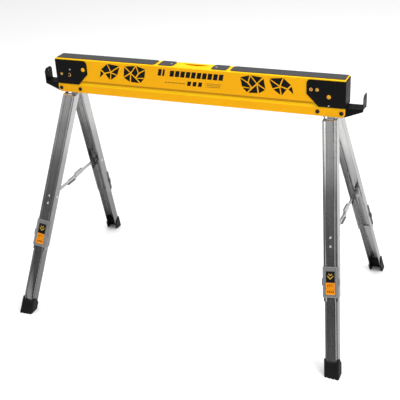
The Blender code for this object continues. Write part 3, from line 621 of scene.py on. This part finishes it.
def make_bolts(end):
    """Button-head bolts with hexagon sockets and threaded tips, in place of the plain ones."""
    for bolt in ("outer", "hinge"):
        node = f"{end}_{bolt}_bolt"
        low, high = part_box(node)
        x, z = (low[0] + high[0]) / 2, (low[2] + high[2]) / 2
        rise, socket = BOLT_HEAD_HEIGHT, BOLT_SOCKET
        length = high[1] - low[1] - rise
        radius = (high[2] - low[2]) / 2
        shank = [(0, -length), (BOLT_SHANK - 0.0006, -length)]
        shank += thread(BOLT_SHANK, -length + 0.0005, -length + THREAD_LENGTH)
        shank += [(BOLT_SHANK, -length + THREAD_LENGTH + 0.001), (BOLT_SHANK, 0)]
        head = [(radius * 0.97, 0), (radius, 0.0007), (radius * 0.95, rise * 0.55),
                (radius * 0.80, rise * 0.88), (radius * 0.62, rise), (socket * 1.1, rise),
                (socket, rise * 0.92), (socket * 0.94, rise * 0.42), (0, rise * 0.36)]
        bm = turned(shank + head, 24)
        square_socket(bm, socket, rise * 0.3)
        place = Matrix.Translation((x, -BEAM_FACE - BOLT_WASHER_GAP, z)) @ TO_FRONT
        piece = finish_piece(f"{node}_detailed", bm, place, dark_bolt, "beam")
        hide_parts(node)


def make_arm_rims(end):
    """Pressed rims round the screw holes of a support arm."""
    turn = FACES["front" if end == "right" else "back"]
    rim = [annulus(0.0026, 0.0044, 0, 350, 24)]
    middle = (BEAM_END + ARM_HIGH[0]) / 2
    ledge = Matrix.Translation((middle, 0, LEDGE_TOP))
    lip = Matrix.Translation((ARM_HIGH[0], 0, ARM_HIGH[2] - LIP_HOLE_DROP)) @ TO_RIGHT
    for name, place in (("ledge", ledge), ("lip", lip)):
        finish_piece(f"{end}_{name}_hole_rim", slab(rim, 0.0005), turn @ place, black, f"{end}_arm",
                     0.00015)


# ---------------------------------------------------------------- legs

def local_box(node, place):
    """A node's lowest and highest corners in a piece's own frame."""
    inverse = place.inverted()
    points = [inverse @ vert.co for vert in NODES[node].data.vertices]
    return [[pick(point[i] for point in points) for i in range(3)] for pick in (min, max)]


def chevron(z, width, height, stroke):
    """A downward chevron with its point below z."""
    half = width / 2
    low = z - height
    return [(-half, z), (0, low), (half, z), (half, z + stroke), (0, low + stroke), (-half, z + stroke)]


def upright(low, high):
    """A rectangle between two corners."""
    return [low, (high[0], low[1]), high, (low[0], high[1])]


def make_label(leg, place):
    """A raised frame on the latch sleeve, with a dark film, two chevrons and a plain orange film."""
    low, high = local_box(f"{leg}_latch_sleeve", place)
    middle, body, slot = (low[2] + high[2]) / 2, f"{leg}_latch", "grey_sleeve"
    half = LABEL_HALF
    stand = place @ Matrix.Translation((0, low[1], middle)) @ TO_FRONT
    rim, side, rise = RIM_WIDTH, RIM_SIDE, (high[2] - low[2]) / 2 - RIM_MARGIN
    bars = [upright((-side, -rise), (rim - side, rise)), upright((side - rim, -rise), (side, rise)),
            upright((rim - side, rise - rim), (side - rim, rise)),
            upright((rim - side, -rise), (side - rim, rim - rise))]
    finish_piece(f"{leg}_sleeve_frame", slab(bars, 0.0006), stand, sleeve_rim, body, 0.0002)
    film = stand @ Matrix.Translation((0, 0, HAIR))
    print_on = film @ Matrix.Translation((0, 0, PRINT + HAIR))
    dark = slab([upright((-half, LABEL_SPLIT), (half, LABEL_TOP))], PRINT)
    finish_piece(f"{leg}_dark_film", dark, film, label_black, body)
    orange = slab([upright((-half, LABEL_BOTTOM), (half, LABEL_SPLIT - 0.0004))], PRINT)
    finish_piece(f"{leg}_orange_film", orange, film, label_orange, body)
    marks = [chevron(0.0250, 0.0110, 0.0060, 0.0021), chevron(0.0180, 0.0180, 0.0095, 0.0025)]
    finish_piece(f"{leg}_chevrons", slab(marks, PRINT), print_on, label_gold, body)
    bars = [upright((-half, -0.0214), (half, -0.0202))]
    bars += [slanted_bar(-0.0105 + 0.0052 * i, -0.0165, 0.0028, 0.0110, 0.2) for i in range(2)]
    bars += [upright((0.0005, -0.0075 - 0.0036 * i), (0.0110 - 0.002 * (i % 2), -0.0060 - 0.0036 * i))
             for i in range(3)]
    bars += [slanted_bar(-0.0108 + 0.0058 * i, -0.0335, 0.0038, 0.0080, 0.2) for i in range(4)]
    finish_piece(f"{leg}_label_bars", slab(bars, PRINT), print_on, label_brown, body)


def make_leg_fasteners(leg, place):
    """Rivet heads on the web, pivot bosses on both flanges and stop pins at the flanges' lower ends."""
    body = f"{leg}_leg"
    low, high = local_box(f"{leg}_upper_leg", place)
    brace = JOINTS[f"{leg}_brace_fold"]["pos_m"]
    pivot = place.inverted() @ Vector(brace)
    recess = low[1] + WEB_RECESS
    pin_y = local_box(f"{leg}_latch_sleeve", place)[1][1] + STOP_PIN_RADIUS + STOP_PIN_GAP
    for i, step in enumerate(WEB_RIVET_STEPS):
        stand = place @ Matrix.Translation((0, recess - HAIR, pivot.z + step)) @ TO_FRONT
        add_turned(f"{leg}_web_rivet_{i}", dome(0.0034, 0.0013), stand, bright_rivet, body, 20)
    boss = [(0, 0), (0.0056, 0), (0.0056, 0.0005), (0.0042, 0.0008), (0.0040, 0.0018), (0.0030, 0.0024),
            (0, 0.0026)]
    pin = dome(STOP_PIN_RADIUS, 0.0016)
    for side, name in ((-1, "inner"), (1, "outer")):
        turn = Matrix.Rotation(side * math.pi / 2, 4, "Y")
        flange = side * (high[0] + HAIR)
        stand = place @ Matrix.Translation((flange, pivot.y, pivot.z)) @ turn
        add_turned(f"{leg}_{name}_boss", boss, stand, zinc, body)
        stand = place @ Matrix.Translation((flange, pin_y, STOP_PIN_Z)) @ turn
        add_turned(f"{leg}_{name}_stop_pin", pin, stand, zinc, body, 16)


def make_foot_ribs(leg, place):
    """Fine moulded ribs across the front of a rubber foot."""
    low, high = local_box(f"{leg}_foot", place)
    half = (high[0] - low[0]) / 2 - FOOT_RIB_MARGIN
    stand = place @ Matrix.Translation((0, low[1], 0)) @ TO_FRONT
    tops = [high[2] - FOOT_RIB_DROP - FOOT_RIB_PITCH * i for i in range(4)]
    ribs = slab([upright((-half, top - FOOT_RIB_WIDTH), (half, top)) for top in tops], 0.0005)
    finish_piece(f"{leg}_foot_ribs", ribs, stand, rubber, f"{leg}_extension", 0.0002)


def decorate():
    for face in FACES:
        decorate_beam(face)
        for end in ENDS:
            decorate_cap(end, face)
    for end in ENDS:
        make_screw_heads(end)
        make_bolts(end)
        make_arm_rims(end)
        for side in SIDES:
            leg = f"{end}_{side}"
            place = leg_matrix(leg)
            make_label(leg, place)
            make_leg_fasteners(leg, place)
            make_foot_ribs(leg, place)


# ---------------------------------------------------------------- stage and camera

def make_camera():
    azimuth, elevation, roll = CAMERA_AZIMUTH, CAMERA_ELEVATION, CAMERA_ROLL
    level_part = math.cos(elevation)
    back = Vector((math.sin(azimuth) * level_part, -math.cos(azimuth) * level_part, math.sin(elevation)))
    right = Vector((math.cos(azimuth), math.sin(azimuth), 0))
    up = back.cross(right)
    level = Matrix((right, up, back)).transposed()
    data = bpy.data.cameras.new("camera")
    data.lens = LENS
    data.sensor_width = SENSOR
    camera = bpy.data.objects.new("camera", data)
    camera.matrix_world = Matrix.Translation(CAMERA_PLACE) @ (level @ Matrix.Rotation(roll, 3, "Z")).to_4x4()
    bpy.context.scene.collection.objects.link(camera)
    bpy.context.scene.camera = camera


def add_light(name, place, target, size, power, colour=(1, 1, 1)):
    data = bpy.data.lights.new(name, "AREA")
    data.shape = "RECTANGLE"
    data.size, data.size_y = size
    data.energy = power
    data.color = colour
    light = bpy.data.objects.new(name, data)
    light.location = place
    light.rotation_euler = (Vector(target) - Vector(place)).to_track_quat("-Z", "Y").to_euler()
    bpy.context.scene.collection.objects.link(light)


def make_world():
    """A studio dome, dark round the horizon and bright overhead, behind a white backdrop."""
    world = bpy.data.worlds.new("studio")
    world.use_nodes = True
    tree = world.node_tree
    direction = tree.nodes.new("ShaderNodeTexCoord").outputs["Generated"]
    parts = tree.nodes.new("ShaderNodeSeparateXYZ")
    link(tree, direction, parts.inputs[0])
    dome_light = ramp(tree, parts.outputs["Z"], (0.0, 0.05), (0.14, 0.05), (0.27, 0.14), (0.36, 0.42),
                      (0.45, 0.85), (0.6, 1.05))
    backdrop = tree.nodes["Background"]
    is_seen = tree.nodes.new("ShaderNodeLightPath").outputs["Is Camera Ray"]
    link(tree, mix(tree, is_seen, dome_light, (1.0, 1.0, 1.0)), backdrop.inputs["Color"])
    backdrop.inputs["Strength"].default_value = 1.0
    bpy.context.scene.world = world


def make_stage():
    bpy.ops.mesh.primitive_plane_add(size=40)
    floor = bpy.context.object
    floor.name = "floor"
    material = bpy.data.materials.new("studio_floor")
    material.use_nodes = True
    shader = material.node_tree.nodes["Principled BSDF"]
    shader.inputs["Base Color"].default_value = (0.92, 0.92, 0.925, 1)
    shader.inputs["Roughness"].default_value = 0.7
    floor.data.materials.append(material)
    make_world()
    add_light("key", (2.6, -0.6, 3.2), (0, 0, 0.4), (2.2, 2.2), 85)
    add_light("top", (-0.4, 0.9, 3.6), (0, 0, 0.3), (4.0, 3.0), 56)
    settings = bpy.context.scene.view_settings
    settings.view_transform = "Standard"
    settings.look = "None"


make_camera()
make_stage()
dress_frame()
decorate()
